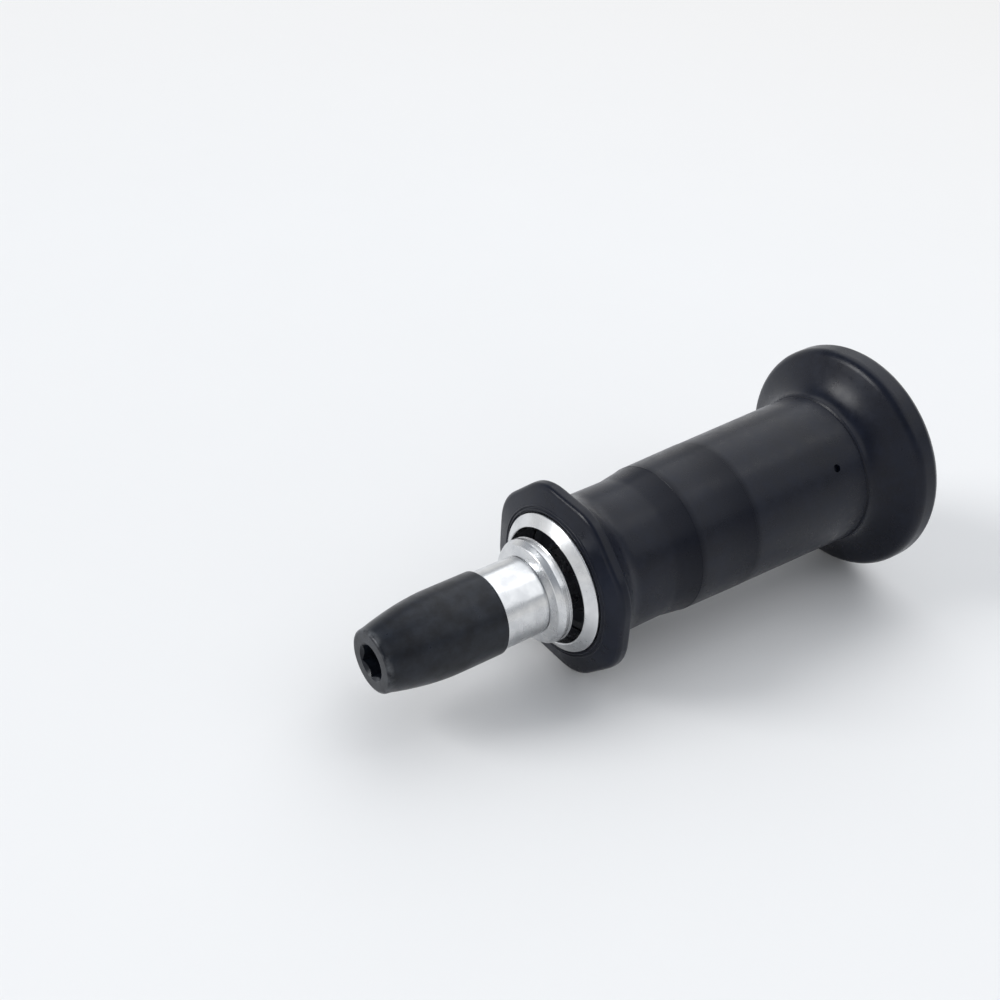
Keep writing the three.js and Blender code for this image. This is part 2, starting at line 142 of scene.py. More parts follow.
# What the shaft carries
seal_place = 66.3 * mm
seal_groove_half = 1.2 * mm
seal_groove_radius = 6.4 * mm
seal_centre_radius = 7.6 * mm
seal_wire_radius = 0.9 * mm
pin_edge = 0.35 * mm
cross_pin_place = 79.1 * mm
cross_pin_radius = 2 * mm
cross_pin_half = 12.75 * mm
cross_hole_radius = 2.15 * mm
roller_bore_radius = 2.2 * mm
roller_radius = 3.2 * mm
roller_inner = 9.15 * mm
roller_outer = 12.55 * mm
thrust_seat_radius = 3.2 * mm
thrust_seat_depth = 2.5 * mm
thrust_ball_radius = 3 * mm
thrust_ball_place = 103.8 * mm

# Steel body
body_front = 51.1 * mm
mouth_radius = 15.55 * mm
mouth_rounding = 0.35 * mm
flange_radius = 18.7 * mm
flange_slope_depth = 2.3 * mm
flange_rounding = 0.45 * mm
flange_end = 58.1 * mm
snap_groove_front = 61.65 * mm
snap_groove_rear = 63.15 * mm
snap_groove_depth = 1.3 * mm
mouth_end = 71.3 * mm
bore_radius = 13.3 * mm
chamber_end = 140 * mm
body_radius = 17 * mm
body_groove_front = 144 * mm
body_groove_rear = 150 * mm
body_groove_depth = 1.2 * mm
head_edge = 1.5 * mm
head_rounding = 0.8 * mm
lock_pin_place = 97.6 * mm
lock_pin_angle = math.radians(117)
lock_pin_angles = (lock_pin_angle, lock_pin_angle + math.pi)
lock_pin_radius = 1.6 * mm
lock_pin_inner = 9 * mm
lock_hole_radius = 1.75 * mm

# Wiper and snap ring
wiper_front = 59.3 * mm
wiper_rear = 61.5 * mm
wiper_inner = 8.7 * mm
wiper_outer = 15.35 * mm
wiper_lip = 0.8 * mm
snap_ring_inner = 13.05 * mm
snap_ring_front = 61.8 * mm
snap_ring_rear = 63 * mm
snap_ring_edge = 0.15 * mm
snap_gap_half = 4.5 * mm
snap_gap_angle = math.radians(90)

# Bush and cam sleeve. The slots' walls run straight between the two cut radii.
shaft_bore_radius = 8.7 * mm
bush_front = 63.3 * mm
bush_edge = 0.4 * mm
sleeve_radius = 13 * mm
sleeve_front = 71.6 * mm
sleeve_rear = 101.6 * mm
slot_radius = 3.4 * mm
slot_turn = math.radians(27)
slot_cut_radii = (shaft_radius - fit_gap, body_radius)

# Return spring and its cap
spring_cap_front = 104.6 * mm
spring_cap_rear = 108.1 * mm
spring_cap_edge = 0.5 * mm
spigot_radius = 7.5 * mm
spigot_rear = 112.1 * mm
spring_radius = 10.4 * mm
spring_wire_radius = 1.3 * mm
spring_front = 110 * mm
spring_rear = 138.4 * mm
spring_turns = 6.5
spring_steps_per_turn = 40

# Rubber grip: lip and guard
grip_bore = 17.3 * mm
grip_recess = 19 * mm
grip_recess_end = 58.4 * mm
grip_lip_radius = 18.85 * mm
grip_lip_end = 54.9 * mm
lip_front = 54 * mm
lip_rounding = 0.25 * mm
bead_radii = (19.45 * mm, 20.25 * mm)
bead_heights = (0.3 * mm, 0.2 * mm)
bead_half = 0.24 * mm
bead_rounding = 0.15 * mm
guard_flats = 8
guard_flat_radius = 25.1 * mm
guard_corner_rounding = 14 * mm
guard_face = 55.5 * mm
guard_back = 58.5 * mm
guard_front_rounding = 1.4 * mm
guard_back_rounding = 1.3 * mm
guard_root_rise = 0.7 * mm
guard_root = 67.9 * mm
guard_root_steps = 18
guard_root_power = 2.2

# Rubber grip: handle
grip_front_radius = 18.95 * mm
grip_step_front = 79 * mm
grip_step_rear = 86.5 * mm
grip_step_radius = 20.1 * mm
grip_step_rounding = 12 * mm
grip_band_place = 105.2 * mm
grip_band_radius = 20.6 * mm
grip_rear_radius = 21.3 * mm
band_step = 0.07 * mm
crease_depth = 0.55 * mm
crease_width = 0.9 * mm
crease_rounding = 0.25 * mm
pit_radius = 1.1 * mm
pit_depth = 1.3 * mm
pit_place = 136.2 * mm
pit_angle = math.radians(50)

# Rubber grip: cap
cap_foot = 146 * mm
cap_flare_steps = 20
cap_flare_kept_share = 0.85
cap_flare_power = 2
cap_face = 154.2 * mm
cap_face_radius = 31.4 * mm
cap_rim_radius = 32.23 * mm
cap_rim_front = 154.75 * mm
cap_rim_front_rounding = 3.2 * mm
cap_rim_rear = 160.2 * mm
cap_rim_rounding = 2 * mm
cap_rear_radius = 31.4 * mm
cap_rear = 161.6 * mm
cap_back_radius = 27.5 * mm
cap_back_rounding = 3 * mm
grip_end = 164.4 * mm
grip_end_rounding = 0.6 * mm

# Grain and relief of the materials. The greater part of a noise lies between its low and its high.
noise_low = 0.3
noise_high = 0.7
fine_relief = 0.03 * mm
rubber_clouds = 14 * mm
rubber_bloom = 3.5 * mm
rubber_bloom_depth = 0.12 * mm
rubber_bloom_gain = 1.5
rubber_shine = 0.235
grip_grain = 0.35 * mm
seal_grain = 0.2 * mm
# Painted shade: the grip is darkened and its shine lowered over a stretch in front of each step of the handle
painted_shade_shine = 0.14
painted_shade_length = 13 * mm
painted_shade_edge = 2 * mm
steel_clouds = 6 * mm
steel_smears = 1.6 * mm
steel_smear_depth = 0.01 * mm
turning_marks = 0.18 * mm
fine_mark_depth = 0.006 * mm
mark_depth = 0.008 * mm
oxide_mottle = 4 * mm
oxide_mottle_depth = 0.08 * mm
oxide_grain = 0.3 * mm
# Paler patches at the nose's front edge, partly wear and partly painted highlight
wear_and_highlight_patches = 2.5 * mm
wear_and_highlight_length = 1.8 * mm

# Floor, backdrop and sky. The floor fades into the backdrop between two distances from the nose's front.
floor_half = 3
floor_clouds = 60 * mm
floor_colour = (0.84, 0.84, 0.84)
floor_cloud_gain = 0.98
floor_roughness = 0.7
fade_start = 0.3
fade_end = 0.9
backdrop = (0.88, 0.88, 0.88)
sky = (0.33, 0.355, 0.39)
sky_start = 0.12
sky_full = 0.5


# Outlines

def around(steps):
    """The angles of a number of even steps round the axis."""
    return [2 * math.pi * i / steps for i in range(steps)]


def at(radius, angle, place):
    """A point in the tool's own frame."""
    return Vector((radius * math.cos(angle), radius * math.sin(angle), place))


def rounded(outline):
    """The outline with each corner that has a third value, its rounding, turned into an arc."""
    points = []
    count = len(outline)
    for i, corner in enumerate(outline):
        if len(corner) < 3:
            points.append(corner)
            continue
        here = Vector(corner[:2]).to_3d()
        before = Vector(outline[i - 1][:2]).to_3d() - here
        after = Vector(outline[(i + 1) % count][:2]).to_3d() - here
        half = before.angle(after) / 2
        reach = min(corner[2] / math.tan(half), before.length / 2, after.length / 2)
        centre = here + (before.normalized() + after.normalized()).normalized() * reach / math.cos(half)
        start = here + before.normalized() * reach - centre
        end = here + after.normalized() * reach - centre
        heading = math.atan2(start.y, start.x)
        turn = math.remainder(math.atan2(end.y, end.x) - heading, 2 * math.pi)
        for step in range(fillet_steps + 1):
            angle = heading + turn * step / fillet_steps
            points.append((
                centre.x + start.length * math.cos(angle),
                centre.y + start.length * math.sin(angle),
            ))
    return points


def swell(first, second, steps, power):
    """Points of a curve that leaves the first point flat and bends ever faster to the second."""
    points = []
    for i in range(1, steps + 1):
        share = i / steps
        place = first[1] + (second[1] - first[1]) * share
        points.append((first[0] + (second[0] - first[0]) * share ** power, place))
    return points


def from_flat(sides, angle):
    """The angle from the middle of a regular polygon's nearest flat. One flat's middle is at zero."""
    sector = 2 * math.pi / sides
    return angle - sector * round(angle / sector)


def hexagon_reach(angle):
    """How far the socket's hexagon reaches from the axis, with a corner up."""
    return hex_across / 2 / math.cos(from_flat(6, angle - math.pi / 2))


def hexagon_at(place):
    """An outline's point that makes the socket's hexagon."""
    return lambda angle: (hexagon_reach(angle), place)


def square_at(place, growth):
    """An outline's point that makes the drive square, grown all round, with its corners turned off."""
    half = square_across / 2 + growth
    corner_radius = square_corner_radius + growth
    return lambda angle: (min(half / math.cos(from_flat(4, angle)), corner_radius), place)


def guard_reach(angle):
    """How far the guard reaches from the axis: flats joined by rounded corners."""
    half_sector = math.pi / guard_flats
    off_flat = abs(from_flat(guard_flats, angle))
    inner = guard_flat_radius - guard_corner_rounding
    if guard_flat_radius * math.tan(off_flat) <= inner * math.tan(half_sector):
        return guard_flat_radius / math.cos(off_flat)
    centre = inner / math.cos(half_sector)
    from_corner = half_sector - off_flat
    rise = centre * math.sin(from_corner)
    return centre * math.cos(from_corner) + math.sqrt(guard_corner_rounding ** 2 - rise ** 2)


def on_guard(point):
    """Turns the part of the grip's outline that lies outside the handle into the eight-sided shape."""
    radius, place = point
    share = (radius - grip_front_radius) / (guard_flat_radius - grip_front_radius)

    def shaped(angle):
        return radius * (1 + share * (guard_reach(angle) / guard_flat_radius - 1)), place

    return shaped if share > 0 and place < guard_root else point


# Meshes

def shade(mesh):
    for face in mesh.faces:
        face.smooth = True
    for edge in mesh.edges:
        edge.smooth = not edge.is_manifold or edge.calc_face_angle() < sharp_angle


def make_object(name, mesh, where=in_place):
    bmesh.ops.remove_doubles(mesh, verts=mesh.verts, dist=weld_distance)
    mesh.transform(where)
    bmesh.ops.recalc_face_normals(mesh, faces=mesh.faces)
    if mesh.calc_volume(signed=True) < 0:
        bmesh.ops.reverse_faces(mesh, faces=mesh.faces)
    shade(mesh)
    data = bpy.data.meshes.new(name)
    mesh.to_mesh(data)
    mesh.free()
    obj = bpy.data.objects.new(name, data)
    bpy.context.scene.collection.objects.link(obj)
    return obj


def skin_rings(mesh, rings, closed=False):
    """Faces between each ring of points and the next. A ring of one point is a pole."""
    steps = max(len(ring) for ring in rings)
    pairs = list(zip(rings, rings[1:]))
    if closed:
        pairs.append((rings[-1], rings[0]))
    for first, second in pairs:
        for i in range(steps):
            j = (i + 1) % steps
            corners = (
                first[i % len(first)],
                first[j % len(first)],
                second[j % len(second)],
                second[i % len(second)],
            )
            mesh.faces.new(dict.fromkeys(corners))


def turned(name, outline, closed=False, steps=around_steps, where=in_place):
    """A turned piece. An outline's point is (radius, place) or a function of the angle that gives both."""
    mesh = bmesh.new()
    rings = []
    for point in outline:
        if not callable(point) and point[0] == 0:
            rings.append([mesh.verts.new(at(0, 0, point[1]))])
            continue
        ring = []
        for angle in around(steps):
            radius, place = point(angle) if callable(point) else point
            ring.append(mesh.verts.new(at(radius, angle, place)))
        rings.append(ring)
    skin_rings(mesh, rings, closed)
    return make_object(name, mesh, where)


def crosswise(name, outline, place, angle, closed=False):
    """A turned piece that points away from the axis. Its outline runs along its own axis."""
    spot = Matrix.Translation((0, 0, place))
    where = spot @ Matrix.Rotation(angle, 4, "Z") @ Matrix.Rotation(math.pi / 2, 4, "Y")
    return turned(name, outline, closed, hole_steps, where)


def round_pin(name, radius, inner, outer, place, angle):
    return crosswise(name, [
        (0, inner),
        (radius - pin_edge, inner),
        (radius, inner + pin_edge),
        (radius, outer - pin_edge),
        (radius - pin_edge, outer),
        (0, outer),
    ], place, angle)


def ball(name, radius, spot):
    outline = [(0, -radius)]
    for i in range(1, ball_steps):
        turn = math.pi * i / ball_steps
        outline.append((radius * math.sin(turn), -radius * math.cos(turn)))
    outline.append((0, radius))
    return turned(name, outline, steps=2 * ball_steps, where=Matrix.Translation(spot))


def winding(radius, turn, front, rear, steps):
    """Points that wind about the axis through a turn, from a front to a rear place."""
    return [at(radius, turn * i / steps, front + (rear - front) * i / steps) for i in range(steps + 1)]


def wire(name, centres, wire_radius):
    """Round wire along centres that wind about the axis. Each end is a low cone."""
    mesh = bmesh.new()
    rings = []
    for i, centre in enumerate(centres):
        ahead = centres[min(i + 1, len(centres) - 1)] - centres[max(i - 1, 0)]
        outward = Vector((centre.x, centre.y, 0)).normalized()
        across = ahead.cross(outward).normalized()
        outward = across.cross(ahead).normalized()
        rings.append([
            mesh.verts.new(centre + wire_radius * (math.cos(turn) * outward + math.sin(turn) * across))
            for turn in around(wire_sides)
        ])
    tips = []
    for end, inner in ((0, 1), (-1, -2)):
        away = (centres[end] - centres[inner]).normalized()
        tips.append(mesh.verts.new(centres[end] + away * wire_radius / 2))
    skin_rings(mesh, [tips[:1], *rings, tips[1:]])
    return make_object(name, mesh)


def evaluated(obj):
    """Gives the object the mesh that its modifiers make, and removes them."""
    depsgraph = bpy.context.evaluated_depsgraph_get()
    data = bpy.data.meshes.new_from_object(obj.evaluated_get(depsgraph))
    obj.modifiers.clear()
    obj.data = data
    return obj


def cut_away(obj, cutter):
    """Cuts the shape of another object out of a piece, and removes that object."""
    cut = obj.modifiers.new("cut", "BOOLEAN")
    cut.operation = "DIFFERENCE"
    cut.solver = "EXACT"
    cut.object = cutter
    evaluated(obj)
    bpy.data.objects.remove(cutter)
    mesh = bmesh.new()
    mesh.from_mesh(obj.data)
    shade(mesh)
    mesh.to_mesh(obj.data)
    mesh.free()


def drill(obj, radius, inner, outer, place, angle):
    """A round hole square to the axis, from an inner to an outer distance."""
    outline = [(0, inner), (radius, inner), (radius, outer), (0, outer)]
    cut_away(obj, crosswise("cutter", outline, place, angle))


def weighted(obj):
    """Lets the large faces set the shading, so that flats stay flat beside their rounded edges."""
    modifier = obj.modifiers.new("normals", "WEIGHTED_NORMAL")
    modifier.keep_sharp = True
    return evaluated(obj)


# Nodes

def set_inputs(tree, node, inputs):
    """Links the inputs that are given a socket, and sets the others."""
    for key, value in inputs.items():
        if isinstance(value, bpy.types.NodeSocket):
            tree.links.new(value, node.inputs[key])
        else:
            node.inputs[key].default_value = value


def add_node(tree, kind, inputs=None, **settings):
    made = tree.nodes.new(kind)
    for key, value in settings.items():
        setattr(made, key, value)
    set_inputs(tree, made, inputs or {})
    return made


def calculate(tree, operation, first, second):
    return add_node(tree, "ShaderNodeMath", {0: first, 1: second}, operation=operation).outputs["Value"]


def length(tree, vector):
    return add_node(tree, "ShaderNodeVectorMath", {0: vector}, operation="LENGTH").outputs["Value"]


def noise(tree, coordinates, grain, detail=4, roughness=0.55, stretch=(1, 1, 1)):
    """Noise whose grains are about that long."""
    mapped = add_node(tree, "ShaderNodeMapping", {"Vector": coordinates, "Scale": stretch})
    made = add_node(tree, "ShaderNodeTexNoise", {
        "Vector": mapped.outputs["Vector"],
        "Scale": 1 / grain,
        "Detail": detail,
        "Roughness": roughness,
    })
    return made.outputs["Fac"]


def ramp(tree, factor, low=0, high=1, start=noise_low, end=noise_high):
    """Runs from low to high while the factor runs from start to end."""
    made = add_node(tree, "ShaderNodeMapRange", {
        "Value": factor,
        "From Min": start,
        "From Max": end,
        "To Min": low,
        "To Max": high,
    })
    return made.outputs["Result"]


def colour_mix(tree, factor, first, second):
    made = add_node(tree, "ShaderNodeMix", data_type="RGBA")
    tree.links.new(factor, made.inputs["Factor"])
    for key, value in (("A", first), ("B", second)):
        socket = [s for s in made.inputs if s.name == key and s.type == "RGBA"][0]
        if isinstance(value, bpy.types.NodeSocket):
            tree.links.new(value, socket)
        else:
            socket.default_value = (*value, 1)
    return [s for s in made.outputs if s.type == "RGBA"][0]


def bump(tree, height, depth, strength, below=None):
    """Relief of about that depth, on top of the relief below."""
    inputs = {"Height": height, "Distance": depth, "Strength": strength}
    if below is not None:
        inputs["Normal"] = below
    return add_node(tree, "ShaderNodeBump", inputs).outputs["Normal"]


def about_axis(tree, coordinates):
    """The distance from the axis, and the place."""
    parts = add_node(tree, "ShaderNodeSeparateXYZ", {"Vector": coordinates})
    flat = add_node(tree, "ShaderNodeCombineXYZ", {"X": parts.outputs["X"], "Y": parts.outputs["Y"]})
    return length(tree, flat.outputs["Vector"]), parts.outputs["Z"]


# Materials

def start_material(name):
    """A new material with coordinates in the tool's own frame."""
    material = bpy.data.materials.new(name)
    material.use_nodes = True
    tree = material.node_tree
    shader = tree.nodes["Principled BSDF"]
    to_tool = tool_frame.inverted()
    mapped = add_node(tree, "ShaderNodeMapping", {
        "Vector": add_node(tree, "ShaderNodeTexCoord").outputs["Object"],
        "Location": to_tool.to_translation(),
        "Rotation": to_tool.to_euler(),
    })
    return material, tree, shader, mapped.outputs["Vector"]


def painted_shade_bands(tree, coordinates, ends):
    """Painted shade's mask: rises to one at each end, along the stretch in front of it, and is zero elsewhere."""
    place = about_axis(tree, coordinates)[1]
    total = 0
    for end in ends:
        rise = ramp(tree, place, low=0, high=1, start=end - painted_shade_length, end=end)
        fall = ramp(tree, place, low=1, high=0, start=end, end=end + painted_shade_edge)
        total = calculate(tree, "ADD", total, calculate(tree, "MULTIPLY", rise, fall))
    return total


def rubber(name, dark, light, roughness, grain, painted_shade_ends=()):
    """Moulded rubber: cloudy, with a fine grain and a faint bloom; painted shade darkens it and lowers its shine
    before each given end.
    """
    material, tree, shader, coordinates = start_material(name)
    clouds = noise(tree, coordinates, rubber_clouds, detail=5)
    bloom = noise(tree, coordinates, rubber_bloom, detail=6, roughness=0.65)
    speckle = noise(tree, coordinates, grain, detail=3)
    cloudy = colour_mix(tree, ramp(tree, clouds), dark, light)
    bloomed = tuple(rubber_bloom_gain * value for value in light)
    colour = colour_mix(tree, ramp(tree, bloom, high=0.35, start=0.5, end=0.8), cloudy, bloomed)
    relief = bump(tree, bloom, rubber_bloom_depth, strength=0.25)
    relief = bump(tree, speckle, fine_relief, strength=0.35, below=relief)
    shine = rubber_shine
    # Painted shade: darker colour and lower shine along the stretch in front of each given end
    if painted_shade_ends:
        painted_shade = painted_shade_bands(tree, coordinates, painted_shade_ends)
        colour = colour_mix(tree, ramp(tree, painted_shade, high=0.8, start=0, end=1), colour, dark)
        shine = ramp(tree, painted_shade, low=rubber_shine, high=painted_shade_shine, start=0, end=1)
    set_inputs(tree, shader, {
        "Base Color": colour,
        "Roughness": ramp(tree, bloom, *roughness),
        "Specular IOR Level": shine,
        "Normal": relief,
    })
    return material


def steel(name, dark, light, roughness, marks_depth):
    """Turned steel: fine marks that run round the axis, under soft clouds in its shine."""
    material, tree, shader, coordinates = start_material(name)
    radius, place = about_axis(tree, coordinates)
    turned_at = add_node(tree, "ShaderNodeCombineXYZ", {"X": radius, "Y": place}).outputs["Vector"]
    marks = noise(tree, turned_at, turning_marks, detail=2)
    clouds = noise(tree, coordinates, steel_clouds, detail=5)
    smears = noise(tree, coordinates, steel_smears, stretch=(0.5, 0.5, 2))
    relief = bump(tree, smears, steel_smear_depth, strength=0.15)
    set_inputs(tree, shader, {
        "Base Color": colour_mix(tree, ramp(tree, clouds), dark, light),
        "Roughness": ramp(tree, clouds, *roughness),
        "Metallic": 1,
        "Normal": bump(tree, marks, marks_depth, strength=0.3, below=relief),
    })
    return material


def black_oxide(name, dark, light, roughness, wear_and_highlight):
    """Blackened steel: mottled, with a dull grain, and paler in patches on the nose's front edge, partly wear and
    partly painted highlight.
    """
    material, tree, shader, coordinates = start_material(name)
    mottle = noise(tree, coordinates, oxide_mottle, detail=6, roughness=0.6)
    grain = noise(tree, coordinates, oxide_grain, roughness=0.65)
    mottled = colour_mix(tree, ramp(tree, mottle), dark, light)
    radius, place = about_axis(tree, coordinates)
    # Partly wear, partly painted highlight: paler patches on the rounded edge at the nose's front
    near_front = ramp(tree, place, low=1, high=0, start=0, end=wear_and_highlight_length)
    flat_edge = holder_front_radius - holder_front_rounding
    near_edge = ramp(tree, radius, start=flat_edge, end=holder_front_radius)
    wear_and_highlight_noise = ramp(tree, noise(tree, coordinates, wear_and_highlight_patches, detail=5), start=0.42, end=0.68)
    wear_and_highlight_mask = calculate(tree, "MULTIPLY", calculate(tree, "MULTIPLY", near_front, near_edge), wear_and_highlight_noise)
    relief = bump(tree, mottle, oxide_mottle_depth, strength=0.2)
    set_inputs(tree, shader, {
        "Base Color": colour_mix(tree, wear_and_highlight_mask, mottled, wear_and_highlight),
        "Roughness": ramp(tree, mottle, *roughness),
        "Metallic": 0.1,
        "Specular IOR Level": 0.3,
        "Normal": bump(tree, grain, fine_relief, strength=0.45, below=relief),
    })
    return material


slot_materials = {
    "grip_rubber": rubber(
        "grip_rubber",
        dark=(0.0022, 0.0033, 0.0086),
        light=(0.0056, 0.008, 0.0172),
        roughness=(0.24, 0.38),
        grain=grip_grain,
        # Painted shade in front of the handle's two steps
        painted_shade_ends=(grip_step_rear, grip_band_place),
    ),
    "seal_rubber": rubber(
        "seal_rubber",
        dark=(0.008, 0.0095, 0.016),
        light=(0.014, 0.016, 0.025),
        roughness=(0.39, 0.53),
        grain=seal_grain,
    ),
    "plated_steel": steel(
        "plated_steel",
        dark=(0.54, 0.55, 0.565),
        light=(0.76, 0.765, 0.77),
        roughness=(0.32, 0.18),
        marks_depth=fine_mark_depth,
    ),
    "plain_steel": steel(
        "plain_steel",
        dark=(0.36, 0.37, 0.38),
        light=(0.5, 0.51, 0.52),
        roughness=(0.42, 0.28),
        marks_depth=mark_depth,
    ),
    "bronze": steel(
        "bronze",
        dark=(0.5, 0.32, 0.14),
        light=(0.62, 0.42, 0.2),
        roughness=(0.44, 0.3),
        marks_depth=mark_depth,
    ),
    "black_steel": black_oxide(
        "black_steel",
        dark=(0.002, 0.0028, 0.0055),
        light=(0.013, 0.0165, 0.0245),
        roughness=(0.4, 0.27),
        # The paler colour of the nose's front edge: partly wear, partly painted highlight
        wear_and_highlight=(0.12, 0.126, 0.136),
    ),
}


def dress(piece, body, slot, node):
    """Finishes a new piece: its place, its material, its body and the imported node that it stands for."""
    piece.data.transform(tool_frame)
    piece.data.materials.clear()
    piece.data.materials.append(slot_materials[slot])
    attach(piece, body)
    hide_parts(node)


# Bit holder and its clip

def bit_holder():
    def lead_edge(angle):
        reach = hexagon_reach(angle)
        return reach, hex_lead_reach - reach

    taper = swell(
        (holder_radius, holder_taper_end),
        (holder_front_radius, holder_front_rounding),
        holder_taper_steps,
        holder_taper_power,
    )[:-1]
    # The last point only guides the rounding before it
    outside = rounded([
        (hex_lead_reach, 0),
        (holder_front_radius, 0, holder_front_rounding),
        *reversed(taper),
        (holder_radius, holder_taper_end),
        (holder_radius, holder_length, holder_rear_rounding),
        (square_corner_radius + fit_gap + socket_lead, holder_length),
    ])
    groove_radius = clip_radius + clip_groove_half
    return turned("bit_holder_shell", [
        *outside[:-1],
        square_at(holder_length, fit_gap + socket_lead),
        square_at(holder_length - socket_lead, fit_gap),
        square_at(socket_floor, fit_gap),
        (holder_bore_radius, socket_floor),
        (holder_bore_radius, hex_depth),
        hexagon_at(hex_depth),
        hexagon_at(clip_place + clip_groove_half),
        (groove_radius, clip_place + clip_groove_half),
        (groove_radius, clip_place - clip_groove_half),
        hexagon_at(clip_place - clip_groove_half),
        lead_edge,
    ], closed=True)


def bit_clip():
    turn = 2 * math.pi - clip_opening
    centres = winding(clip_radius, turn, clip_place, clip_place, clip_steps)
    return wire("bit_clip_wire", centres, clip_wire_radius)


dress(weighted(bit_holder()), "nose", "black_steel", "bit_holder")
dress(bit_clip(), "nose", "plain_steel", "bit_clip")


# Spindle and what it carries

def spindle():
    lines = []
    for place in shoulder_line_places:
        lines.append((shoulder_radius, place - shoulder_line_half))
        lines.append((shoulder_radius - shoulder_line_depth, place))
        lines.append((shoulder_radius, place + shoulder_line_half))
    # The first point only guides the rounding after it
    behind = rounded([
        (square_corner_radius, neck_place),
        (neck_radius, neck_place, spindle_rounding),
        (neck_radius, shoulder_place - undercut_width),
        (neck_radius - undercut_depth, shoulder_place - undercut_width),
        (neck_radius - undercut_depth, shoulder_place),
        (neck_radius + undercut_depth, shoulder_place),
        (shoulder_face_radius, shoulder_place + shoulder_face_depth, shoulder_rounding / 2),
        (shoulder_radius, shoulder_place + shoulder_face_depth + shoulder_bevel_depth, shoulder_rounding),
        *lines,
        (shoulder_radius, shoulder_end - shoulder_rear_bevel, spindle_rounding),
        (shoulder_radius - shoulder_rear_bevel, shoulder_end, spindle_rounding),
        (shaft_radius, shoulder_end),
        (shaft_radius, seal_place - seal_groove_half, spindle_rounding),
        (seal_groove_radius, seal_place - seal_groove_half, spindle_rounding),
        (seal_groove_radius, seal_place + seal_groove_half, spindle_rounding),
        (shaft_radius, seal_place + seal_groove_half, spindle_rounding),
        (shaft_radius, spindle_end - spindle_edge),
        (shaft_radius - spindle_edge, spindle_end),
        (thrust_seat_radius, spindle_end),
        (thrust_seat_radius, spindle_end - thrust_seat_depth),
        (0, spindle_end - thrust_seat_depth),
    ])
    made = turned("spindle_shaft", [
        (0, square_front),
        square_at(square_front, -square_lead - spindle_rounding),
        square_at(square_front + spindle_rounding / 2, -square_lead),
        square_at(square_front + square_lead, -spindle_rounding / 2),
        square_at(square_front + square_lead + spindle_rounding, 0),
        square_at(neck_place, 0),
        *behind[1:],
    ])
    ball_hole = drive_ball_radius + fit_gap
    ball_hole_end = square_across / 2 + drill_margin
    drill(made, ball_hole, drive_hole_floor, ball_hole_end, drive_ball_place, angle=math.pi / 2)
    cross_hole_end = shaft_radius + drill_margin
    drill(made, cross_hole_radius, -cross_hole_end, cross_hole_end, cross_pin_place, angle=0)
    return made


def seal_ring():
    outline = []
    for turn in around(wire_sides):
        radius = seal_centre_radius + seal_wire_radius * math.cos(turn)
        outline.append((radius, seal_place + seal_wire_radius * math.sin(turn)))
    return turned("seal_ring_round", outline, closed=True)


def cross_pin():
    return round_pin(
        "cross_pin_bar", cross_pin_radius, -cross_pin_half, cross_pin_half, cross_pin_place, angle=0,
    )


def cam_roller(name, angle):
    return crosswise(name, rounded([
        (roller_bore_radius, roller_inner),
        (roller_radius, roller_inner, pin_edge),
        (roller_radius, roller_outer, pin_edge),
        (roller_bore_radius, roller_outer),
    ]), cross_pin_place, angle, closed=True)


def drive_ball():
    return ball("drive_ball_face", drive_ball_radius, (0, drive_ball_middle, drive_ball_place))


def thrust_ball():
    return ball("thrust_ball_round", thrust_ball_radius, (0, 0, thrust_ball_place))


dress(weighted(spindle()), "drive_shaft", "plated_steel", "spindle")
dress(drive_ball(), "detent", "plain_steel", "drive_ball")
dress(seal_ring(), "drive_shaft", "seal_rubber", "seal_ring")
dress(cross_pin(), "drive_shaft", "plain_steel", "cross_pin")
dress(cam_roller("cam_roller_up", angle=0), "roller_1", "plain_steel", "cam_roller_1")
dress(cam_roller("cam_roller_down", angle=math.pi), "roller_2", "plain_steel", "cam_roller_2")


# Steel body and what stays in it

def steel_body():
    body_groove_radius = body_radius - body_groove_depth
    snap_groove_radius = mouth_radius + snap_groove_depth
    made = turned("steel_body_tube", rounded([
        (0, chamber_end),
        (bore_radius, chamber_end),
        (bore_radius, mouth_end),
        (mouth_radius, mouth_end),
        (mouth_radius, snap_groove_rear),
        (snap_groove_radius, snap_groove_rear),
        (snap_groove_radius, snap_groove_front),
        (mouth_radius, snap_groove_front),
        (mouth_radius, body_front, mouth_rounding),
        (flange_radius, body_front + flange_slope_depth, flange_rounding),
        (flange_radius, flange_end),
        (body_radius, flange_end),
        (body_radius, body_groove_front),
        (body_groove_radius, body_groove_front),
        (body_groove_radius, body_groove_rear),
        (body_radius, body_groove_rear),
        (body_radius, tool_length - head_edge, head_rounding),
        (body_radius - head_edge, tool_length, head_rounding),
        (0, tool_length),
    ]))
    hole_inner = bore_radius - drill_margin
    for angle in lock_pin_angles:
        drill(made, lock_hole_radius, hole_inner, body_radius + drill_margin, lock_pin_place, angle)
    return made


def wiper_seal():
    return turned("wiper_lips", rounded([
        (wiper_inner, wiper_front, wiper_lip / 4),
        (wiper_inner + wiper_lip, wiper_front, wiper_lip / 4),
        (wiper_inner + 2 * wiper_lip, wiper_front + wiper_lip, wiper_lip / 2),
        (wiper_outer - 2 * wiper_lip, wiper_front + wiper_lip, wiper_lip / 2),
        (wiper_outer, wiper_front, wiper_lip / 4),
        (wiper_outer, wiper_rear),
        (wiper_inner, wiper_rear),
    ]), closed=True)


def edged_ring(name, inner, outer, front, rear, edge):
    """A plain ring whose edges are rounded."""
    return turned(name, rounded([
        (inner, front, edge),
        (outer, front, edge),
        (outer, rear, edge),
        (inner, rear, edge),
    ]), closed=True)


def guide_bush():
    return edged_ring("guide_bush_ring", shaft_bore_radius, wiper_outer, bush_front, mouth_end, bush_edge)


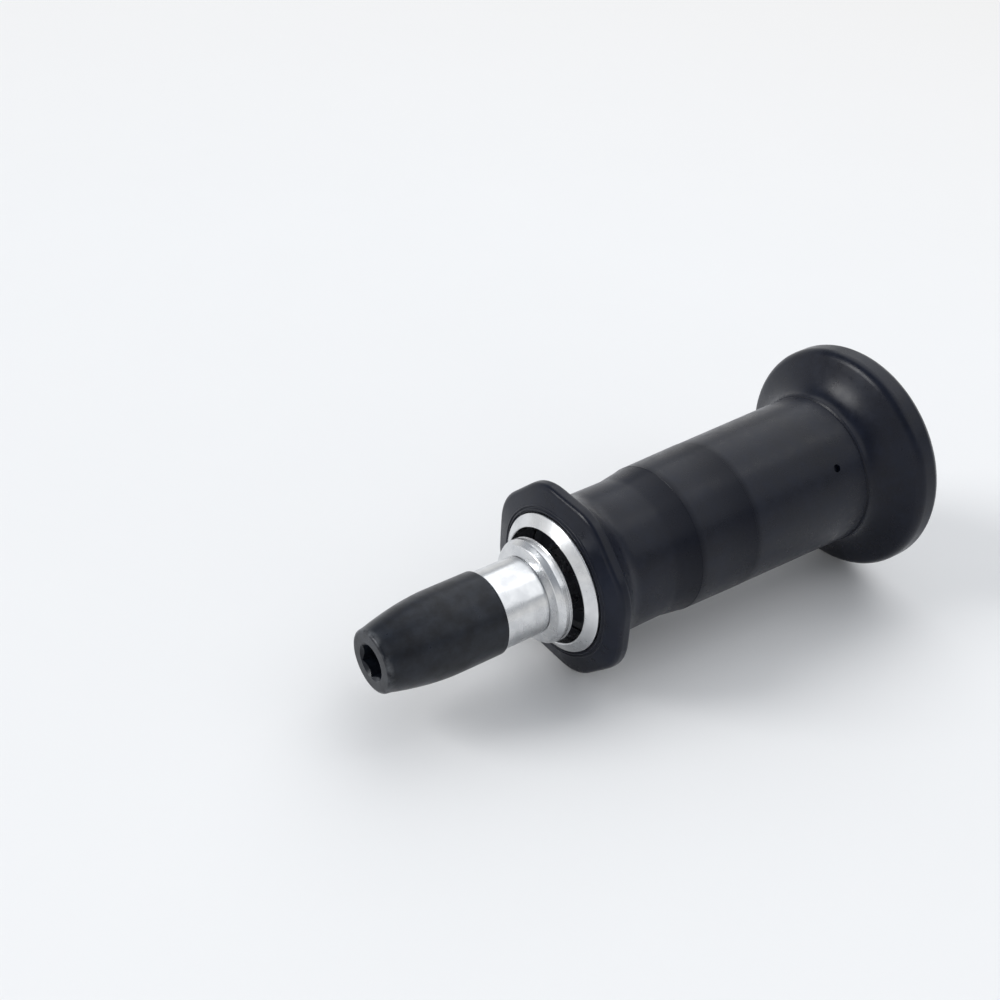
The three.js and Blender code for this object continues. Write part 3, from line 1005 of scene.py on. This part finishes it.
def snap_ring():
    outer = mouth_radius + snap_groove_depth - fit_gap
    made = edged_ring(
        "snap_ring_open", snap_ring_inner, outer, snap_ring_front, snap_ring_rear, snap_ring_edge,
    )
    place = (snap_ring_front + snap_ring_rear) / 2
    drill(made, snap_gap_half, snap_ring_inner - drill_margin, outer + drill_margin, place, snap_gap_angle)
    return made


def slot_outline(radius, start):
    """The edge of a slot at a radius: a foot, the other foot and the crown where its legs join."""
    slope = math.atan2(stroke, radius * slot_turn)
    quarter = math.pi / 2
    crown_place = cross_pin_place + stroke
    arcs = (
        (0, cross_pin_place, slope + quarter, slope + 3 * quarter),
        (2 * slot_turn, cross_pin_place, 3 * quarter - slope, 5 * quarter - slope),
        (slot_turn, crown_place, quarter - slope, quarter + slope),
    )
    points = []
    for angle, place, first, last in arcs:
        for i in range(slot_arc_steps + 1):
            turn = first + (last - first) * i / slot_arc_steps
            sideways = math.asin(slot_radius * math.cos(turn) / radius)
            points.append((start + angle + sideways, place + slot_radius * math.sin(turn)))
    tongue = (start + slot_turn, crown_place - slot_radius / math.cos(slope))
    points.insert(slot_arc_steps + 1, tongue)
    return [at(radius, angle, place) for angle, place in points]


def slot_cutter(start):
    mesh = bmesh.new()
    rings = []
    for radius in slot_cut_radii:
        rings.append([mesh.verts.new(point) for point in slot_outline(radius, start)])
    skin_rings(mesh, rings)
    caps = [mesh.faces.new(ring) for ring in rings]
    bmesh.ops.triangulate(mesh, faces=caps)
    return make_object("cutter", mesh)


def cam_sleeve():
    made = edged_ring(
        "cam_sleeve_slotted", shaft_bore_radius, sleeve_radius, sleeve_front, sleeve_rear, bush_edge,
    )
    for start in (0, math.pi):
        cut_away(made, slot_cutter(start))
    hole_inner = shaft_bore_radius - drill_margin
    for angle in lock_pin_angles:
        drill(made, lock_hole_radius, hole_inner, sleeve_radius + drill_margin, lock_pin_place, angle)
    return made


def lock_pin(name, angle):
    return round_pin(name, lock_pin_radius, lock_pin_inner, body_radius, lock_pin_place, angle)


def spring_cap():
    return turned("spring_cap_plate", rounded([
        (0, spring_cap_front + thrust_seat_depth),
        (thrust_seat_radius, spring_cap_front + thrust_seat_depth),
        (thrust_seat_radius, spring_cap_front),
        (sleeve_radius, spring_cap_front, spring_cap_edge),
        (sleeve_radius, spring_cap_rear, spring_cap_edge),
        (spigot_radius, spring_cap_rear),
        (spigot_radius, spigot_rear, spring_cap_edge),
        (0, spigot_rear),
    ]))


def return_spring():
    steps = round(spring_turns * spring_steps_per_turn)
    centres = winding(spring_radius, 2 * math.pi * spring_turns, spring_front, spring_rear, steps)
    return wire("return_spring_coil", centres, spring_wire_radius)


dress(weighted(steel_body()), "handle", "plated_steel", "steel_body")
dress(weighted(wiper_seal()), "handle", "seal_rubber", "wiper_seal")
dress(weighted(guide_bush()), "handle", "bronze", "guide_bush")
dress(weighted(snap_ring()), "handle", "black_steel", "snap_ring")
dress(weighted(cam_sleeve()), "handle", "plain_steel", "cam_sleeve")
for number, angle in enumerate(lock_pin_angles, 1):
    dress(lock_pin(f"lock_pin_bar_{number}", angle), "handle", "plain_steel", f"lock_pin_{number}")
dress(weighted(spring_cap()), "spring_seat", "plain_steel", "spring_cap")
dress(thrust_ball(), "spring_seat", "plain_steel", "thrust_ball")
spring = return_spring()
dress(spring, "handle", "plain_steel", "return_spring")
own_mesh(spring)


# Rubber grip

def lip_beads():
    """Points of the small beads on the slope between the lip and the guard's front face."""
    slope = (guard_face - lip_front) / (guard_flat_radius - grip_lip_radius)
    beads = []
    for radius, height in zip(bead_radii, bead_heights):
        foot = lip_front + slope * (radius - grip_lip_radius)
        beads.append((radius - bead_half, foot))
        beads.append((radius - bead_half / 2, foot - height, bead_rounding))
        beads.append((radius + bead_half / 2, foot - height, bead_rounding))
        beads.append((radius + bead_half, foot))
    return beads


def rubber_grip():
    root = swell(
        (grip_front_radius, guard_root),
        (guard_flat_radius - guard_root_rise, guard_back + guard_root_rise / 2),
        guard_root_steps,
        guard_root_power,
    )[:-1]
    flare_foot = (grip_rear_radius + crease_depth / 2, cap_foot)
    flare = swell(flare_foot, (cap_face_radius, cap_face), cap_flare_steps, cap_flare_power)
    rib_radius = grip_bore - body_groove_depth
    outline = rounded([
        (grip_lip_radius, lip_front, lip_rounding),
        *lip_beads(),
        (guard_flat_radius, guard_face, guard_front_rounding),
        (guard_flat_radius, guard_back, guard_back_rounding),
        *reversed(root),
        (grip_front_radius, guard_root),
        (grip_front_radius, grip_step_front, grip_step_rounding),
        (grip_step_radius - band_step, grip_step_rear),
        (grip_step_radius, grip_step_rear + band_step),
        (grip_band_radius, grip_band_place),
        (grip_band_radius - band_step, grip_band_place + band_step),
        (grip_rear_radius, cap_foot - crease_width, crease_rounding),
        (grip_rear_radius - crease_depth, cap_foot - crease_width / 2, crease_rounding),
        (*flare_foot, crease_rounding),
        *flare[:round(cap_flare_kept_share * cap_flare_steps)],
        (cap_rim_radius, cap_rim_front, cap_rim_front_rounding),
        (cap_rim_radius, cap_rim_rear, cap_rim_rounding),
        (cap_rear_radius, cap_rear, cap_rim_rounding),
        (cap_back_radius, grip_end, cap_back_rounding),
        (grip_bore, grip_end, grip_end_rounding),
        (grip_bore, body_groove_rear - fit_gap),
        (rib_radius, body_groove_rear - fit_gap),
        (rib_radius, body_groove_front + fit_gap),
        (grip_bore, body_groove_front + fit_gap),
        (grip_bore, grip_recess_end),
        (grip_recess, grip_recess_end),
        (grip_recess, grip_lip_end + grip_recess - grip_lip_radius),
        (grip_lip_radius, grip_lip_end),
    ])
    shaped = [on_guard(point) for point in outline]
    made = turned("rubber_grip_skin", shaped, closed=True, steps=grip_steps)
    pit_floor = grip_rear_radius - pit_depth
    drill(made, pit_radius, pit_floor, grip_rear_radius + drill_margin, pit_place, pit_angle)
    return made


dress(weighted(rubber_grip()), "handle", "grip_rubber", "rubber_grip")


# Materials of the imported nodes, also of those that a new piece stands for
for entry in frame["record"]["subparts"]:
    node = frame["nodes"][entry["node"]]
    node.data.materials.clear()
    node.data.materials.append(slot_materials[entry["material_slot"]])


# Floor: near the tool it takes light and shadow, and further out it is the plain pale backdrop

def seen_directly(tree):
    """One for rays from the camera, from a mirror or through glass, and zero for the light on things."""
    path = add_node(tree, "ShaderNodeLightPath")
    seen = calculate(tree, "ADD", path.outputs["Is Camera Ray"], path.outputs["Is Glossy Ray"])
    return calculate(tree, "ADD", seen, path.outputs["Is Transmission Ray"])


def make_floor():
    mesh = bmesh.new()
    bmesh.ops.create_grid(mesh, x_segments=1, y_segments=1, size=floor_half)
    floor = make_object("floor", mesh)
    material, tree, shader, coordinates = start_material("floor")
    clouds = noise(tree, coordinates, floor_clouds)
    darker = tuple(floor_cloud_gain * value for value in floor_colour)
    set_inputs(tree, shader, {
        "Base Color": colour_mix(tree, clouds, darker, floor_colour),
        "Roughness": floor_roughness,
    })
    fade = ramp(tree, length(tree, coordinates), start=fade_start, end=fade_end)
    glow = add_node(tree, "ShaderNodeEmission", {"Color": (*backdrop, 1), "Strength": 1})
    mixed = add_node(tree, "ShaderNodeMixShader", {
        0: calculate(tree, "MULTIPLY", fade, seen_directly(tree)),
        1: shader.outputs["BSDF"],
        2: glow.outputs["Emission"],
    })
    tree.links.new(mixed.outputs["Shader"], tree.nodes["Material Output"].inputs["Surface"])
    floor.data.materials.append(material)


make_floor()


# Light

def soft_sun(name, azimuth, elevation, width, level):
    """A wide, far lamp. Azimuth zero is in front, at -Y. Level one, square on, lights white as white."""
    light = bpy.data.lights.new(name, "SUN")
    light.angle = math.radians(width)
    light.energy = math.pi * level
    lamp = bpy.data.objects.new(name, light)
    turn, rise = math.radians(azimuth), math.radians(elevation)
    way = Vector((math.sin(turn) * math.cos(rise), -math.cos(turn) * math.cos(rise), math.sin(rise)))
    lamp.rotation_euler = (-way).to_track_quat("-Z", "Y").to_euler()
    bpy.context.scene.collection.objects.link(lamp)


soft_sun("key_lamp", azimuth=-120, elevation=31, width=25, level=0.5)
soft_sun("back_lamp", azimuth=125, elevation=52, width=62, level=0.34)
soft_sun("front_lamp", azimuth=37, elevation=56, width=56, level=0.2)


def make_world():
    """A backdrop that is pale at eye level and darker overhead."""
    world = bpy.data.worlds.new("studio")
    world.use_nodes = True
    tree = world.node_tree
    way = add_node(tree, "ShaderNodeTexCoord").outputs["Generated"]
    height = add_node(tree, "ShaderNodeSeparateXYZ", {"Vector": way}).outputs["Z"]
    colour = colour_mix(tree, ramp(tree, height, start=sky_start, end=sky_full), backdrop, sky)
    tree.links.new(colour, tree.nodes["Background"].inputs["Color"])
    bpy.context.scene.world = world


make_world()

# Camera
camera = bpy.data.objects.new("camera", bpy.data.cameras.new("camera"))
bpy.context.scene.collection.objects.link(camera)
camera.data.lens = camera_lens
camera.data.sensor_width = camera_sensor
camera.data.clip_start = camera_near
camera.matrix_world = (
    Matrix.Translation(camera_spot)
    @ Matrix.Rotation(camera_azimuth, 4, "Z")
    @ Matrix.Rotation(math.pi / 2 - camera_elevation, 4, "X")
    @ Matrix.Rotation(camera_roll, 4, "Z")
)
bpy.context.scene.camera = camera
bpy.context.scene.view_settings.view_transform = "Standard"
